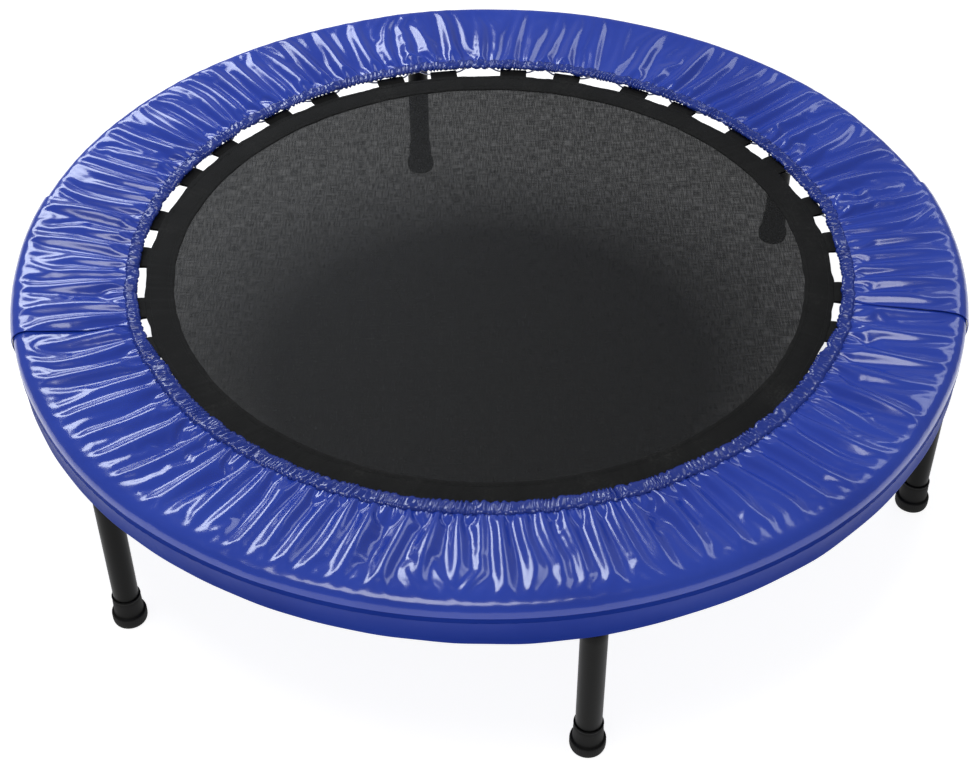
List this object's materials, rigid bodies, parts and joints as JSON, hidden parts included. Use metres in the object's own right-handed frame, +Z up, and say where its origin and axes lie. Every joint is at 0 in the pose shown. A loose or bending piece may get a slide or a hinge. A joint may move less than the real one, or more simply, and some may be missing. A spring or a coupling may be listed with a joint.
{
  "type": "mini trampoline",
  "caption": "Low round rebounder: tubular ring frame on screw-in legs with rubber feet, sprung mesh mat with webbing loops, and a gathered glossy cover over the springs.",
  "frame": {"origin": "centre of the ring on the floor plane, under the middle of the mat", "axes": "+Z up, -Y towards the front, +X to the right"},
  "size_m": [0.9778, 0.9778, 0.2269],
  "materials": {
    "frame_steel": "satin",
    "foot_rubber": "matte",
    "mat_mesh": "matte",
    "mat_webbing": "matte",
    "spring_steel": "satin",
    "cover_vinyl": "gloss"
  },
  "bodies": {
    "frame": {"frame_section_1": "frame_steel", "frame_section_2": "frame_steel", "frame_section_3": "frame_steel", "frame_section_4": "frame_steel", "frame_section_5": "frame_steel", "frame_section_6": "frame_steel", "spring_01": "spring_steel", "spring_02": "spring_steel", "spring_03": "spring_steel", "spring_04": "spring_steel", "spring_05": "spring_steel", "spring_06": "spring_steel", "spring_07": "spring_steel", "spring_08": "spring_steel", "spring_09": "spring_steel", "spring_10": "spring_steel", "spring_11": "spring_steel", "spring_12": "spring_steel", "spring_13": "spring_steel", "spring_14": "spring_steel", "spring_15": "spring_steel", "spring_16": "spring_steel", "spring_17": "spring_steel", "spring_18": "spring_steel", "spring_19": "spring_steel", "spring_20": "spring_steel", "spring_21": "spring_steel", "spring_22": "spring_steel", "spring_23": "spring_steel", "spring_24": "spring_steel", "spring_25": "spring_steel", "spring_26": "spring_steel", "spring_27": "spring_steel", "spring_28": "spring_steel", "spring_29": "spring_steel", "spring_30": "spring_steel", "cover_top_front": "cover_vinyl", "cover_top_right": "cover_vinyl", "cover_top_back": "cover_vinyl", "cover_top_left": "cover_vinyl", "cover_skirt_front": "cover_vinyl", "cover_skirt_right": "cover_vinyl", "cover_skirt_back": "cover_vinyl", "cover_skirt_left": "cover_vinyl", "cover_elastic": "cover_vinyl", "cover_hem": "cover_vinyl"},
    "jumping_mat": {"mat": "mat_mesh", "mat_border": "mat_webbing"},
    "leg_1_assembly": {"leg_1": "frame_steel", "foot_1": "foot_rubber"},
    "leg_2_assembly": {"leg_2": "frame_steel", "foot_2": "foot_rubber"},
    "leg_3_assembly": {"leg_3": "frame_steel", "foot_3": "foot_rubber"},
    "leg_4_assembly": {"leg_4": "frame_steel", "foot_4": "foot_rubber"},
    "leg_5_assembly": {"leg_5": "frame_steel", "foot_5": "foot_rubber"},
    "leg_6_assembly": {"leg_6": "frame_steel", "foot_6": "foot_rubber"}
  },
  "joints": [
    {"name": "mat_bounce", "type": "slide", "parent": "frame", "child": "jumping_mat", "axis": [0, 0, -1], "range_m": [0, 0.08], "stiffness_N_per_m": 8000, "deforming": ["spring_01", "spring_02", "spring_03", "spring_04", "spring_05", "spring_06", "spring_07", "spring_08", "spring_09", "spring_10", "spring_11", "spring_12", "spring_13", "spring_14", "spring_15", "spring_16", "spring_17", "spring_18", "spring_19", "spring_20", "spring_21", "spring_22", "spring_23", "spring_24", "spring_25", "spring_26", "spring_27", "spring_28", "spring_29", "spring_30"]},
    {"name": "leg_1_screw", "type": "hinge", "parent": "frame", "child": "leg_1_assembly", "pos_m": [-0.35788, -0.3111, 0.17], "axis": [0, 0, 1], "continuous": true},
    {"name": "leg_2_screw", "type": "hinge", "parent": "frame", "child": "leg_2_assembly", "pos_m": [0.09048, -0.46549, 0.17], "axis": [0, 0, 1], "continuous": true},
    {"name": "leg_3_screw", "type": "hinge", "parent": "frame", "child": "leg_3_assembly", "pos_m": [0.44837, -0.15438, 0.17], "axis": [0, 0, 1], "continuous": true},
    {"name": "leg_4_screw", "type": "hinge", "parent": "frame", "child": "leg_4_assembly", "pos_m": [0.35788, 0.3111, 0.17], "axis": [0, 0, 1], "continuous": true},
    {"name": "leg_5_screw", "type": "hinge", "parent": "frame", "child": "leg_5_assembly", "pos_m": [-0.09048, 0.46549, 0.17], "axis": [0, 0, 1], "continuous": true},
    {"name": "leg_6_screw", "type": "hinge", "parent": "frame", "child": "leg_6_assembly", "pos_m": [-0.44837, 0.15438, 0.17], "axis": [0, 0, 1], "continuous": true}
  ]
}
